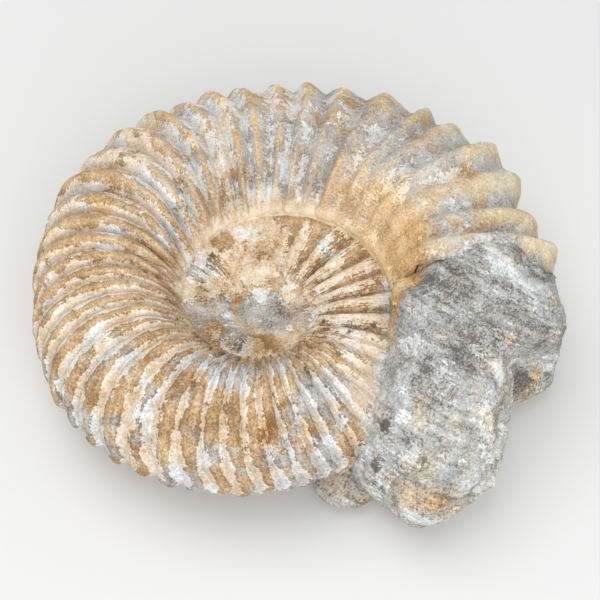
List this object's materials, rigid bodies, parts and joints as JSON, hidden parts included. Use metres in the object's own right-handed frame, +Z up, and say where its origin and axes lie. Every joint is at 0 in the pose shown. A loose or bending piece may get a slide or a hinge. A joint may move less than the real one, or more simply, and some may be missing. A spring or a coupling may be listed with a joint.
{
  "type": "fossil ammonite",
  "caption": "Ribbed spiral fossil shell lying on its side, its broken end filled with grey stone that runs down to the surface it rests on",
  "frame": {"origin": "middle of the fossil's box in plan, at the level that it rests on", "axes": "+X to the side of the broken, stone-filled end, +Y away from the boulder, +Z up along the axis that the shell coils about"},
  "size_m": [0.1489, 0.1397, 0.0503],
  "materials": {
    "weathered_stone": "matte"
  },
  "bodies": {
    "root": {"ammonite": "weathered_stone"}
  },
  "joints": []
}
